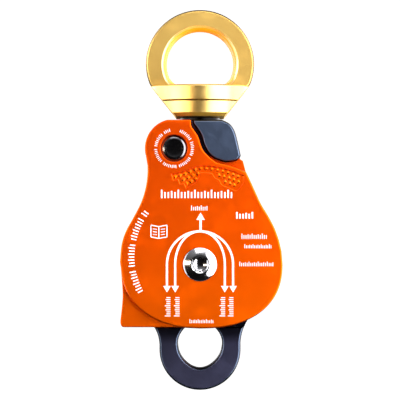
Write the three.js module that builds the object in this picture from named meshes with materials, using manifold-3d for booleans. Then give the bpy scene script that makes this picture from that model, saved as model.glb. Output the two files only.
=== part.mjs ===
// Double rope pulley (swivel block with becket) for arborist rigging.
// Millimetres, +Z up, the front faces -Y, and the origin is the centre of the swivel eye's hole.
// Everything is drawn about the axle first: x and z are measured from the axle, and the depth of a
// piece is its distance from the centre plane. The last group moves the model up to the eye.

import * as THREE from 'three';
import { mergeVertices } from 'three/addons/utils/BufferGeometryUtils.js';
import Module from 'manifold-3d';

const wasm = await Module();
wasm.setup();

// ---- Driving dimensions -------------------------------------------------------------------------

const GAP = 0.3;                    // between pieces that rest on one another
const FIT = 0.2;                    // round running gaps, on the radius

// Heights above the axle
const EYE_Z = 105;                  // centre of the eye's hole
const EYE_SEAT_Z = 93.5;            // flat that closes the hole below
const EYE_BASE_Z = 77;              // underside of the eye's turned base
const HEAD_TOP_Z = 74.9;
const HEAD_UNDER_R = 54;            // the head's underside is an arc about the axle

// Depths from the centre plane
const WEB_DEPTH = 3.5;
const BECKET_DEPTH = 5;
const HEAD_DEPTH = 20.4;
const PLATE_INNER = 20.7;
const PLATE_LEDGE = 23.2;
const PLATE_OUTER = 27.2;

// Side plates
const PLATE_R = 42.8;               // half width on the right
const PLATE_LEFT = 41.5;            // half width on the left
const PLATE_BOTTOM = 33.3;
const SHOULDER_R = 53.4;            // raised edge under the boss, an arc about the axle
const LEDGE_R = 58.6;               // reach of the lower ledge under the boss

// Latch button
const BUTTON = { x: -13.4, z: 60.1 };
const BUTTON_R = 6.65;
const BUTTON_HOLE_R = 6.9;
const BUTTON_TOP = 25.3;
const BUTTON_CAP = 1.7;             // thickness of the cap
const STEM_R = 2.6;
const LOBE_R = 15.2;                // the plate's ear round the button
const SKIN = 1.6;                   // plate left over the hidden slot
const SLOT_CLEAR = 0.35;

// Axle, sheaves and their bearings
const AXLE_R = 6;
const AXLE_HEAD_R = 8.85;
const AXLE_HEAD_RISE = 1.8;
const HEX_R = 4.05;                 // corner radius of the key socket
const PLATE_BORE_R = 7.85;
const SHEAVE = { near: 4.1, far: 20.1, flangeR: 31.5, treadR: 25.5, grooveHalf: 7 };
const BEARING = { near: 7.1, far: 17.1, innerR: 11, outerR: 13.8, rimR: 18.6, pitchR: 12.4, ballR: 2.2 };
const BEARING_BALLS = 10;
const TRACK_CLEAR = 0.35;           // between a ball and its track

// Swivel
const EYE_R = 28.6;
const EYE_HOLE_R = 17.6;
const EYE_DEPTH = 8.5;
const BASE_R = 27;
const STUD_R = 5;
const CAVITY_R = 9.3;
const CAVITY_FLOOR_Z = 57.4;
const NECK_R = 10.5;
const SEAL_Z = 71;
const THRUST = { pitchR: 7.1, ballR: 1.15, centreZ: 63.5, rimR: 8.9, balls: 8 };

// Becket
const BECKET_R = 21.5;
const BECKET_Z = -45.8;
const BECKET_HOLE = { r: 11.7, z: -43 };

const ROUND = 32;                   // sides of a large turned piece
const SMALL_ROUND = 16;             // sides of a small or hidden one
const EYE_HOLE_SIDES = 12;          // the eye's hole has twice as many sides round its top

// ---- Solids -------------------------------------------------------------------------------------

function signedVolume(position, index) {
  const a = new THREE.Vector3();
  const b = new THREE.Vector3();
  const c = new THREE.Vector3();
  let total = 0;
  for (let i = 0; i < index.length; i += 3) {
    a.fromBufferAttribute(position, index[i]);
    b.fromBufferAttribute(position, index[i + 1]);
    c.fromBufferAttribute(position, index[i + 2]);
    total += a.dot(b.cross(c));
  }
  return total;
}

// A closed three.js geometry becomes a solid with its faces turned outward.
function toSolid(geometry) {
  const bare = geometry.index ? geometry.clone() : geometry;
  bare.deleteAttribute('normal');
  bare.deleteAttribute('uv');
  const merged = mergeVertices(bare, 1e-4);
  const index = merged.index.array;
  const turnOver = signedVolume(merged.attributes.position, index) < 0;
  const triangles = [];
  for (let i = 0; i < index.length; i += 3) {
    const [a, b, c] = [index[i], index[i + 1], index[i + 2]];
    if (a !== b && b !== c && c !== a) triangles.push(a, turnOver ? c : b, turnOver ? b : c);
  }
  return new wasm.Manifold(new wasm.Mesh({
    numProp: 3,
    vertProperties: Float32Array.from(merged.attributes.position.array),
    triVerts: Uint32Array.from(triangles),
  }));
}

function toGeometry(solid) {
  const mesh = solid.getMesh();
  const geometry = new THREE.BufferGeometry();
  geometry.setAttribute('position', new THREE.BufferAttribute(mesh.vertProperties, 3));
  geometry.setIndex(new THREE.BufferAttribute(mesh.triVerts, 1));
  geometry.computeVertexNormals();
  return geometry;
}

function join(...solids) {
  return solids.reduce((whole, piece) => whole.add(piece));
}

function cut(solid, ...tools) {
  return tools.reduce((left, tool) => left.subtract(tool), solid);
}

// The same solid on the other side of the centre plane.
function mirrored(solid) {
  return toSolid(toGeometry(solid).scale(1, -1, 1));
}

// The outline's corners, without the doubled ones where two stretches meet.
function plainOutline(outline, curveSegments) {
  const nearest = 0.02;
  const corners = [];
  for (const point of outline.getPoints(curveSegments)) {
    const last = corners[corners.length - 1];
    if (!last || point.distanceTo(last) > nearest) corners.push(point);
  }
  while (corners[0].distanceTo(corners[corners.length - 1]) <= nearest) corners.pop();
  return new THREE.Shape(corners);
}

// An outline in x and z, given thickness from one y to another. A chamfer narrows both faces.
function slab(outline, fromY, toY, chamfer = 0, curveSegments = 7) {
  const geometry = new THREE.ExtrudeGeometry(plainOutline(outline, curveSegments), {
    depth: toY - fromY - 2 * chamfer,
    bevelEnabled: chamfer > 0,
    bevelThickness: chamfer,
    bevelSize: chamfer,
    bevelOffset: -chamfer,
    bevelSegments: 1,
  });
  geometry.translate(0, 0, chamfer - toY);
  geometry.rotateX(Math.PI / 2);
  return toSolid(geometry);
}

function vectors(points) {
  return points.map(([x, y]) => new THREE.Vector2(x, y));
}

// Turned about the y axis from [radius, y] points, moved to x and z.
function turned(points, sides = SMALL_ROUND, x = 0, z = 0) {
  const geometry = new THREE.LatheGeometry(vectors(points), sides);
  geometry.translate(x, 0, z);
  return toSolid(geometry);
}

// A closed section turned about the y axis, which leaves a hole in the middle.
function turnedRing(points, sides = SMALL_ROUND) {
  return turned([...points, points[0]], sides);
}

// Turned about the z axis from [radius, z] points.
function turnedUp(points, sides = SMALL_ROUND) {
  const geometry = new THREE.LatheGeometry(vectors(points), sides);
  geometry.rotateX(Math.PI / 2);
  return toSolid(geometry);
}

function turnedRingUp(points, sides = SMALL_ROUND) {
  return turnedUp([...points, points[0]], sides);
}

function rod(radius, fromY, toY, sides = SMALL_ROUND, x = 0, z = 0) {
  return turned([[0, fromY], [radius, fromY], [radius, toY], [0, toY]], sides, x, z);
}

function washer(boreR, rimR, fromY, toY, sides = SMALL_ROUND) {
  return turnedRing([[boreR, fromY], [rimR, fromY], [rimR, toY], [boreR, toY]], sides);
}

// ---- Outlines -----------------------------------------------------------------------------------

function radians(degrees) {
  return degrees * Math.PI / 180;
}

function polar(radius, degrees) {
  return [radius * Math.cos(radians(degrees)), radius * Math.sin(radians(degrees))];
}

// A quarter of a superellipse in the lower half: it starts at [start] degrees of its parameter.
function squircle(halfWidth, halfHeight, power, start, end, steps) {
  const points = [];
  for (let i = 0; i <= steps; i += 1) {
    const t = radians(start + (end - start) * i / steps);
    const x = Math.sign(Math.cos(t)) * halfWidth * Math.abs(Math.cos(t)) ** (2 / power);
    const z = Math.sign(Math.sin(t)) * halfHeight * Math.abs(Math.sin(t)) ** (2 / power);
    points.push([x, z]);
  }
  return points;
}

function lineThrough(shape, points) {
  points.forEach(([x, z]) => shape.lineTo(x, z));
}

// A smooth line from where the outline has got to, with two sides between neighbouring points.
function splineThrough(shape, points) {
  const curve = new THREE.SplineCurve([shape.currentPoint.clone(), ...vectors(points)]);
  curve.getPoints(2 * points.length).slice(1).forEach((point) => shape.lineTo(point.x, point.y));
}

// Right flank, from the disc up to the shoulder.
const RIGHT_FLANK = [[40.9, 12.6], [38.6, 18.8], [35.3, 25.1], [31.6, 31.3], [28.7, 37.5], [25.9, 43.7],
  [23.9, 47.8]];
// Left flank, from the ear down to the disc.
const LEFT_FLANK = [[-27.2, 51], [-27.3, 46], [-28.3, 39.3], [-30.6, 32], [-34.6, 24.1], [-38.3, 17.4],
  [-40.6, 10.5], [-PLATE_LEFT, 1.2]];

// The ear's flat top ends where its circle meets the top line.
const EAR_TOP_ANGLE = Math.asin((HEAD_TOP_Z - BUTTON.z) / LOBE_R);

function ear(shape) {
  shape.lineTo(BUTTON.x - LOBE_R * Math.cos(EAR_TOP_ANGLE), HEAD_TOP_Z);
  shape.absarc(BUTTON.x, BUTTON.z, LOBE_R, Math.PI - EAR_TOP_ANGLE, radians(195), false);
}

function discRight(shape) {
  lineThrough(shape, squircle(PLATE_R, PLATE_BOTTOM, 2.3, 270, 360, 14));
  lineThrough(shape, [polar(PLATE_R, 9)]);
  splineThrough(shape, RIGHT_FLANK);
}

// The raised face of a side plate.
function raisedOutline() {
  const shape = new THREE.Shape();
  shape.moveTo(0, -PLATE_BOTTOM);
  discRight(shape);
  shape.absarc(0, 0, SHOULDER_R, radians(63.5), radians(80.5), false);
  splineThrough(shape, [[5.3, 55.2], [2.3, 58.4], [0.6, 61.5], [-0.9, 66.2], [-4.3, 71.4]]);
  shape.lineTo(-4.7, HEAD_TOP_Z);
  ear(shape);
  splineThrough(shape, LEFT_FLANK);
  lineThrough(shape, squircle(40.9, PLATE_BOTTOM, 2.2, 188, 262, 14));
  return shape;
}

// The full plate below the raised face, with its tab at the lower left and its ledge under the boss.
function ledgeOutline() {
  const shape = new THREE.Shape();
  shape.moveTo(0, -PLATE_BOTTOM);
  discRight(shape);
  lineThrough(shape, [[22.4, 53.6], polar(LEDGE_R, 69.6), polar(LEDGE_R, 74), polar(LEDGE_R - 1, 80)]);
  splineThrough(shape, [[5.3, 56.2], [2.3, 58.4], [0.6, 61.5], [-0.9, 66.2], [-4.3, 71.4]]);
  shape.lineTo(-4.7, HEAD_TOP_Z);
  ear(shape);
  splineThrough(shape, LEFT_FLANK);
  splineThrough(shape, [[-40.9, -6], [-40.3, -15], [-40.5, -20.5], [-41.4, -28.8]]);
  shape.quadraticCurveTo(-41.8, -32.9, -39.4, -32.9);
  shape.lineTo(-9, -32.9);
  return shape;
}

// The anodised boss beside the ear.
function bossOutline() {
  const shape = new THREE.Shape();
  shape.moveTo(...polar(HEAD_UNDER_R + 0.3, 76));
  splineThrough(shape, [[15.8, 53], [19, 53.7], [21.2, 56.1]]);
  splineThrough(shape, [[20.3, 60.3], [18.2, 68.5], [15.5, 72.7], [11.4, HEAD_TOP_Z]]);
  shape.lineTo(-4, HEAD_TOP_Z);
  splineThrough(shape, [[-3.4, 72.6], [0.3, 67.2], [2, 61.9], [4.8, 57], [7.9, 54.5]]);
  return shape;
}

// The head block behind both ears, between the two plates.
function headOutline() {
  const inset = 0.6;
  const shape = new THREE.Shape();
  shape.moveTo(...polar(HEAD_UNDER_R, 68));
  splineThrough(shape, [[20.9, 55.5], [20.3, 60.3], [18.2, 68.5], [15.5, 72.7], [11.4, HEAD_TOP_Z]]);
  shape.lineTo(BUTTON.x - 3, HEAD_TOP_Z);
  shape.absarc(BUTTON.x, BUTTON.z, LOBE_R - inset, Math.PI - EAR_TOP_ANGLE, Math.PI, false);
  shape.lineTo(-26.4, 50);
  shape.absarc(0, 0, HEAD_UNDER_R, radians(119.2), radians(68), true);
  return shape;
}

// The becket's ring flares at the top, where it grows out of the web.
function becketWebOutline() {
  const topZ = -29;
  const shape = new THREE.Shape();
  shape.moveTo(-29, topZ);
  shape.quadraticCurveTo(-22, -34.5, -BECKET_R, -43);
  shape.absarc(0, BECKET_Z, BECKET_R, Math.PI, 2 * Math.PI, false);
  shape.lineTo(BECKET_R, -42);
  shape.quadraticCurveTo(22, -35, 26, topZ);
  return shape;
}

// Below the sheaves the becket is thicker than the web.
function becketOutline() {
  const topZ = -35.5;
  const shape = new THREE.Shape();
  shape.moveTo(BECKET_R, topZ);
  shape.lineTo(-BECKET_R, topZ);
  shape.absarc(0, BECKET_Z, BECKET_R, Math.PI, 2 * Math.PI, false);
  return shape;
}

// Round above and drawn to a soft point below.
function becketHoleOutline() {
  const { r, z } = BECKET_HOLE;
  const shape = new THREE.Shape();
  shape.absarc(0, z, r, 0, Math.PI, false);
  splineThrough(shape, [[-10.9, z - 4.2], [-8.6, z - 8.1], [-4.6, z - 11.5], [0, z - 12.8]]);
  splineThrough(shape, [[4.6, z - 11.5], [8.6, z - 8.1], [10.9, z - 4.2], [r, z]]);
  return shape;
}

// ---- Swivel -------------------------------------------------------------------------------------

// The eye's outline is its ring above and two slanting sides below.
function eyeOutline(halfAtBase, slope) {
  const bottomHalf = halfAtBase + slope * (EYE_BASE_Z - 78.6);
  const seat = radians(22);
  const shape = new THREE.Shape();
  shape.moveTo(-bottomHalf, EYE_BASE_Z);
  shape.lineTo(bottomHalf, EYE_BASE_Z);
  shape.absarc(0, EYE_Z, EYE_R, -seat, Math.PI + seat, false);
  return shape;
}

function eyeHoleOutline() {
  const corner = radians(24);
  const flat = 8.5;
  const shape = new THREE.Shape();
  shape.absarc(0, EYE_Z, EYE_HOLE_R, -corner, Math.PI + corner, false);
  shape.quadraticCurveTo(-13.2, EYE_SEAT_Z, -flat, EYE_SEAT_Z);
  shape.lineTo(flat, EYE_SEAT_Z);
  shape.quadraticCurveTo(13.2, EYE_SEAT_Z, EYE_HOLE_R * Math.cos(corner), EYE_Z - EYE_HOLE_R * Math.sin(corner));
  return shape;
}

// Flares one mouth of the eye's hole: only its first chamfer lies inside the ring.
function eyeHoleFlare() {
  const flare = 2.4;
  const reach = 10;
  const geometry = new THREE.ExtrudeGeometry(plainOutline(eyeHoleOutline(), EYE_HOLE_SIDES), {
    depth: reach,
    bevelEnabled: true,
    bevelThickness: flare,
    bevelSize: flare,
    bevelSegments: 1,
  });
  geometry.translate(0, 0, EYE_DEPTH);
  geometry.rotateX(Math.PI / 2);
  return toSolid(geometry);
}

// A round base with a groove, chamfered below, cut to a V by the eye's slanting sides.
function eyeBase(outline) {
  const grooveZ = 85.3;
  const lowerR = BASE_R - 1;
  const turnedBody = turnedUp([
    [0, EYE_BASE_Z], [lowerR - 2.2, EYE_BASE_Z], [lowerR - 0.3, EYE_BASE_Z + 2],
    [lowerR, grooveZ - 0.7], [lowerR - 0.8, grooveZ - 0.4], [lowerR - 0.8, grooveZ + 0.4],
    [BASE_R - 0.4, grooveZ + 0.7], [BASE_R, EYE_SEAT_Z - 0.6], [BASE_R - 0.6, EYE_SEAT_Z],
    [0, EYE_SEAT_Z],
  ], ROUND);
  return turnedBody.intersect(slab(outline, -BASE_R - 1, BASE_R + 1));
}

function swivelEye() {
  const outline = eyeOutline(14, 0.82);
  const ring = cut(
    slab(outline, -EYE_DEPTH, EYE_DEPTH, 2, 18),
    slab(eyeHoleOutline(), -EYE_DEPTH - 1, EYE_DEPTH + 1, 0, EYE_HOLE_SIDES),
    eyeHoleFlare(),
    mirrored(eyeHoleFlare()),
  );
  const studBore = turnedUp([[0, EYE_BASE_Z - 1], [STUD_R + GAP, EYE_BASE_Z - 1], [STUD_R + GAP, 89], [0, 90]]);
  return cut(join(ring, eyeBase(outline)), studBore);
}

function swivelStud() {
  const flangeR = 8.7;
  const flangeZ = 60.5;
  return turnedUp([
    [0, CAVITY_FLOOR_Z + 0.4], [flangeR, CAVITY_FLOOR_Z + 0.4], [flangeR, flangeZ],
    [STUD_R, flangeZ], [STUD_R, 87.5], [STUD_R - 1, 88.5], [0, 88.5],
  ]);
}

function thrustRace(fromZ, toZ) {
  const boreR = STUD_R + GAP;
  return turnedRingUp([[boreR, fromZ], [THRUST.rimR, fromZ], [THRUST.rimR, toZ], [boreR, toZ]]);
}

// Balls and the ring that spaces them, along y or z according to [place].
function ballCage(ring, count, ballR, place) {
  const balls = [];
  for (let i = 0; i < count; i += 1) {
    const ball = new THREE.SphereGeometry(ballR, 6, 4);
    ball.translate(...place(2 * Math.PI * i / count));
    balls.push(toSolid(ball));
  }
  return join(ring, ...balls);
}

function thrustBallCage() {
  const { pitchR, centreZ, ballR, balls } = THRUST;
  const half = 0.6;
  const ring = turnedRingUp([
    [pitchR - 0.8, centreZ - half], [pitchR + 0.8, centreZ - half],
    [pitchR + 0.8, centreZ + half], [pitchR - 0.8, centreZ + half],
  ]);
  return ballCage(ring, balls, ballR, (t) => [pitchR * Math.cos(t), pitchR * Math.sin(t), centreZ]);
}

// The threaded collar that holds the stud in the head. Its flange is the neck under the eye.
function swivelCollar() {
  const boreR = STUD_R + GAP;
  const threadR = CAVITY_R - GAP;
  return turnedRingUp([
    [boreR, 66.3], [threadR, 66.3], [threadR, HEAD_TOP_Z + FIT], [NECK_R, HEAD_TOP_Z + FIT],
    [NECK_R, EYE_BASE_Z - FIT], [boreR, EYE_BASE_Z - FIT], [boreR, SEAL_Z + 1],
    [boreR + 1.6, SEAL_Z + 1], [boreR + 1.6, SEAL_Z - 1], [boreR, SEAL_Z - 1],
  ]);
}

function studSeal() {
  const section = 0.7;
  const centreR = STUD_R + 0.95;
  const points = [];
  for (let i = 0; i < 6; i += 1) {
    const [r, z] = polar(section, i * 60);
    points.push([centreR + r, SEAL_Z + z]);
  }
  return turnedRingUp(points);
}

// ---- Frame --------------------------------------------------------------------------------------

// The pocket in the head for one button: a mouth for the cap and a narrower bore for the spring.
function buttonPocket() {
  const mouthR = BUTTON_HOLE_R;
  return turned([
    [0, -BUTTON_POCKET.floor], [BUTTON_POCKET.boreR, -BUTTON_POCKET.floor],
    [BUTTON_POCKET.boreR, -BUTTON_POCKET.step], [mouthR, -BUTTON_POCKET.step],
    [mouthR, -HEAD_DEPTH - 1], [0, -HEAD_DEPTH - 1],
  ], SMALL_ROUND, BUTTON.x, BUTTON.z);
}

// Room under the boss for the plate's lower ledge to swing through.
function ledgeSweep() {
  return washer(HEAD_UNDER_R - 1, LEDGE_R + 0.4, -PLATE_LEDGE - 0.4, -HEAD_DEPTH, 40);
}

function frontBoss() {
  const sweep = ledgeSweep();
  return cut(slab(bossOutline(), -PLATE_OUTER, -HEAD_DEPTH + 0.5), sweep);
}

function frameBody() {
  const webHalf = 18;
  const web = new THREE.Shape();
  web.moveTo(-webHalf, 0);
  lineThrough(web, [[webHalf, 0], [webHalf, 56], [-webHalf, 56]]);
  const boss = frontBoss();
  const cavity = turnedUp([
    [0, CAVITY_FLOOR_Z], [CAVITY_R, CAVITY_FLOOR_Z], [CAVITY_R, HEAD_TOP_Z + 1], [0, HEAD_TOP_Z + 1],
  ]);
  const body = join(
    slab(headOutline(), -HEAD_DEPTH, HEAD_DEPTH),
    boss,
    mirrored(boss),
    slab(web, -WEB_DEPTH, WEB_DEPTH),
    rod(38, -WEB_DEPTH, WEB_DEPTH, ROUND),
    slab(becketWebOutline(), -WEB_DEPTH, WEB_DEPTH),
    slab(becketOutline(), -BECKET_DEPTH, BECKET_DEPTH, 1),
  );
  const pocket = buttonPocket();
  return cut(
    body,
    slab(becketHoleOutline(), -BECKET_DEPTH - 1, BECKET_DEPTH + 1),
    cavity,
    pocket,
    mirrored(pocket),
    rod(AXLE_R + FIT, -WEB_DEPTH - 1, WEB_DEPTH + 1),
  );
}

// ---- Latch button -------------------------------------------------------------------------------

const BUTTON_POCKET = { floor: 6.3, step: 16.4, boreR: 5.4 };
const CLIP = { near: 15.3, far: 16.3, boreR: 2.3, rimR: 5.1 };

function atButton(points, sides) {
  return turned(points, sides, BUTTON.x, BUTTON.z);
}

function buttonCapAndStem() {
  const dishR = 4.9;
  const neckR = CLIP.boreR - GAP;
  return atButton([
    [0, -BUTTON_TOP + 0.8], [dishR - 1, -BUTTON_TOP + 0.7],
    [dishR + 0.3, -BUTTON_TOP], [BUTTON_R - 0.4, -BUTTON_TOP], [BUTTON_R, -BUTTON_TOP + 0.4],
    [BUTTON_R, -BUTTON_TOP + BUTTON_CAP], [STEM_R, -BUTTON_TOP + BUTTON_CAP],
    [STEM_R, -CLIP.far - 0.2], [neckR, -CLIP.far - 0.2], [neckR, -CLIP.near + 0.2],
    [STEM_R, -CLIP.near + 0.2], [STEM_R, -13.2], [0, -13.2],
  ], 24);
}

function buttonRetainer() {
  const boreR = STEM_R + GAP;
  const rimR = BUTTON_HOLE_R - GAP;
  const near = BUTTON_POCKET.step + GAP;
  const far = near + 1.2;
  return atButton([[boreR, -near], [rimR, -near], [rimR, -far], [boreR, -far], [boreR, -near]], SMALL_ROUND);
}

// A spring clip: a ring with one side open.
function buttonClip() {
  const { near, far, boreR, rimR } = CLIP;
  const ring = atButton([[boreR, -near], [rimR, -near], [rimR, -far], [boreR, -far], [boreR, -near]], SMALL_ROUND);
  const mouth = new THREE.BoxGeometry(3, 4, 8);
  mouth.translate(BUTTON.x, -near, BUTTON.z - 5);
  return cut(ring, toSolid(mouth));
}

function buttonSpring() {
  const coilR = 4;
  const wireR = 0.35;
  const turns = 4.5;
  const from = BUTTON_POCKET.floor + 0.4;
  const to = CLIP.near - 0.7;
  class Helix extends THREE.Curve {
    getPoint(t) {
      const angle = 2 * Math.PI * turns * t;
      const x = BUTTON.x + coilR * Math.cos(angle);
      const z = BUTTON.z + coilR * Math.sin(angle);
      return new THREE.Vector3(x, -(from + (to - from) * t), z);
    }
  }
  const wire = new THREE.Shape();
  wire.absarc(0, 0, wireR, 0, 2 * Math.PI, false);
  const geometry = new THREE.ExtrudeGeometry(wire, { steps: 32, curveSegments: 3, extrudePath: new Helix() });
  return toSolid(geometry);
}

// ---- Side plate ---------------------------------------------------------------------------------

// An arc-shaped slot about the axle, from the button round past the ear's edge.
function arcSlot(half, fromDepth, toDepth) {
  const centreR = Math.hypot(BUTTON.x, BUTTON.z);
  const start = Math.atan2(BUTTON.z, BUTTON.x);
  const end = radians(60);
  const shape = new THREE.Shape();
  shape.absarc(0, 0, centreR - half, end, start, false);
  shape.absarc(BUTTON.x, BUTTON.z, half, start - Math.PI, start, true);
  shape.absarc(0, 0, centreR + half, start, end, true);
  return slab(shape, -toDepth, -fromDepth, 0, 9);
}

function sidePlate() {
  const slotCeiling = PLATE_OUTER - SKIN;
  const capUnder = BUTTON_TOP - BUTTON_CAP - 0.25;
  const body = join(
    slab(ledgeOutline(), -PLATE_LEDGE, -PLATE_INNER),
    slab(raisedOutline(), -PLATE_OUTER, -PLATE_INNER),
  );
  const holeChamfer = turned([
    [0, -PLATE_OUTER + 0.9], [BUTTON_HOLE_R, -PLATE_OUTER + 0.9], [BUTTON_HOLE_R + 0.9, -PLATE_OUTER],
    [BUTTON_HOLE_R + 0.9, -PLATE_OUTER - 1], [0, -PLATE_OUTER - 1],
  ], ROUND, BUTTON.x, BUTTON.z);
  return cut(
    body,
    rod(PLATE_BORE_R, -PLATE_OUTER - 1, -PLATE_INNER + 1, ROUND),
    rod(BUTTON_HOLE_R, -PLATE_OUTER - 1, -PLATE_INNER + 1, ROUND, BUTTON.x, BUTTON.z),
    holeChamfer,
    rod(BUTTON_R + SLOT_CLEAR, -slotCeiling, -PLATE_INNER + 1, ROUND, BUTTON.x, BUTTON.z),
    arcSlot(BUTTON_R + SLOT_CLEAR, capUnder, slotCeiling),
    arcSlot(STEM_R + SLOT_CLEAR, PLATE_INNER - 1, capUnder + 0.1),
  );
}

// ---- Axle and sheaves ---------------------------------------------------------------------------

// A six-sided key socket with a chamfered mouth, from the crown of a front head inward.
function keySocket() {
  const depth = 4.5;
  const crown = PLATE_OUTER + GAP + AXLE_HEAD_RISE;
  const mouth = turned([
    [0, -crown + 0.8], [HEX_R - 0.3, -crown + 0.8], [HEX_R + 0.9, -crown - 0.4], [0, -crown - 0.4],
  ]);
  return join(rod(HEX_R, -crown - 1, -crown + depth, 6), mouth);
}

// A domed head and its shank, cut to [shank] points that run from the head to the far end.
function domedAxle(shank) {
  const seat = PLATE_OUTER + GAP;
  const dome = [];
  for (let i = 0; i <= 3; i += 1) {
    const t = radians(90 - 25 * i);
    dome.push([AXLE_HEAD_R * Math.cos(t), -seat - 0.5 - (AXLE_HEAD_RISE - 0.5) * Math.sin(t)]);
  }
  dome[0][0] = 0;
  return cut(turned([...dome, [AXLE_HEAD_R, -seat], ...shank], ROUND), keySocket());
}

const NUT_MOUTH = 13.8;             // the nut's sleeve starts here on the rear side
const THREAD_R = 4;

function axleBolt() {
  return domedAxle([
    [AXLE_R, -PLATE_OUTER - GAP], [AXLE_R, NUT_MOUTH - GAP], [THREAD_R, NUT_MOUTH - GAP],
    [THREAD_R, 20], [THREAD_R - 0.8, 20.8], [0, 20.8],
  ]);
}

function axleNut() {
  const boreR = THREAD_R + GAP;
  return mirrored(domedAxle([
    [AXLE_R, -PLATE_OUTER - GAP], [AXLE_R, -NUT_MOUTH], [boreR, -NUT_MOUTH], [boreR, -21.5], [0, -22.5],
  ]));
}

function sheave() {
  const { near, far, flangeR, treadR, grooveHalf } = SHEAVE;
  const middle = (near + far) / 2;
  const boreR = BEARING.rimR + GAP;
  const groove = [];
  const steps = 6;
  for (let i = 0; i <= steps; i += 1) {
    const t = radians(180 * i / steps);
    const depth = middle - grooveHalf * Math.cos(t);
    groove.push([flangeR - (flangeR - treadR) * Math.sin(t), -depth]);
  }
  return turnedRing([
    [boreR, -near - 2.2], [boreR + 5, -near - 1.8], [flangeR - 4, -near], [flangeR, -near],
    ...groove,
    [flangeR, -far], [flangeR - 4, -far], [boreR + 5, -far + 1.8], [boreR, -far + 2.2],
  ], ROUND);
}

// A race from its plain radius to its shoulder radius, with the ball track cut in the shoulder.
function race(plainR, shoulderR, trackR) {
  const { near, far, ballR } = BEARING;
  const middle = (near + far) / 2;
  const half = ballR * 0.85;
  return turnedRing([
    [plainR, -near], [shoulderR, -near], [shoulderR, -middle + half], [trackR, -middle + half / 2],
    [trackR, -middle - half / 2], [shoulderR, -middle - half], [shoulderR, -far], [plainR, -far],
  ]);
}

function innerRace() {
  return race(AXLE_R + FIT, BEARING.innerR, BEARING.pitchR - BEARING.ballR - TRACK_CLEAR);
}

function outerRace() {
  return race(BEARING.rimR, BEARING.outerR, BEARING.pitchR + BEARING.ballR + TRACK_CLEAR);
}

function bearingBallCage() {
  const { near, far, pitchR, ballR } = BEARING;
  const middle = (near + far) / 2;
  const ring = washer(pitchR - 0.9, pitchR + 0.9, -middle - 2.8, -middle + 2.8);
  const place = (t) => [pitchR * Math.cos(t), -middle, pitchR * Math.sin(t)];
  return ballCage(ring, BEARING_BALLS, ballR, place);
}

function shield(depth) {
  return washer(BEARING.innerR + 0.45, BEARING.outerR - FIT, -depth - 0.6, -depth);
}

function plateBush() {
  return washer(AXLE_R + FIT, PLATE_BORE_R - 0.25, -PLATE_OUTER, -PLATE_INNER);
}

function spacer(near, far) {
  return washer(AXLE_R + FIT, 9, -far, -near);
}

// ---- Assembly -----------------------------------------------------------------------------------

const FINISH = {
  gold: [0xe0b964, 0.35, 0.9],
  orange: [0xff5500, 0.45, 0.5],
  greyBlue: [0x46505f, 0.4, 0.7],
  black: [0x151515, 0.5, 0.3],
  polished: [0xd8dadc, 0.12, 1],
  steel: [0xa9adb2, 0.3, 1],
  bronze: [0xb08a4a, 0.45, 0.9],
  silver: [0xc4c8cc, 0.35, 0.9],
  rubber: [0x101010, 0.8, 0],
  nylon: [0x2b2b2d, 0.6, 0],
};

const pulley = new THREE.Group();
pulley.name = 'rope_pulley';
pulley.position.z = -EYE_Z;

function place(name, solid, finish) {
  const [color, roughness, metalness] = FINISH[finish];
  const material = new THREE.MeshStandardMaterial({ color, roughness, metalness });
  const mesh = new THREE.Mesh(toGeometry(solid), material);
  mesh.name = name;
  pulley.add(mesh);
}

// Builds a piece on the front side and its twin on the rear side.
function placePair(name, solid, finish) {
  place(`front_${name}`, solid, finish);
  place(`rear_${name}`, mirrored(solid), finish);
}

place('swivel_eye', swivelEye(), 'gold');
place('swivel_stud', swivelStud(), 'steel');
place('thrust_lower_race', thrustRace(60.8, 62.2), 'steel');
place('thrust_ball_cage', thrustBallCage(), 'bronze');
place('thrust_upper_race', thrustRace(64.8, 66), 'steel');
place('swivel_collar', swivelCollar(), 'black');
place('stud_seal', studSeal(), 'rubber');
place('frame', frameBody(), 'greyBlue');
place('axle_bolt', axleBolt(), 'polished');
place('axle_nut', axleNut(), 'polished');

placePair('side_plate', sidePlate(), 'orange');
placePair('plate_bush', plateBush(), 'bronze');
placePair('sheave', sheave(), 'silver');
placePair('bearing_outer_race', outerRace(), 'steel');
placePair('bearing_inner_race', innerRace(), 'steel');
placePair('bearing_ball_cage', bearingBallCage(), 'nylon');
placePair('inner_shield', shield(7.4), 'black');
placePair('outer_shield', shield(16.2), 'black');
placePair('inner_spacer', spacer(WEB_DEPTH + GAP, BEARING.near - GAP), 'steel');
placePair('outer_spacer', spacer(BEARING.far + GAP, PLATE_INNER - GAP), 'steel');
placePair('button', buttonCapAndStem(), 'steel');
placePair('button_clip', buttonClip(), 'steel');
placePair('button_retainer', buttonRetainer(), 'steel');
placePair('button_spring', buttonSpring(), 'steel');

const assembly = new THREE.Group();
assembly.add(pulley);
assembly.updateMatrixWorld(true);

export default assembly;
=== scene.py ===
"""Looks of a rope pulley: a double swivel block with two swinging side plates and a becket."""

import math

import bmesh
import bpy
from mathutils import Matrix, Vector
from mathutils.geometry import tessellate_polygon

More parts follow.
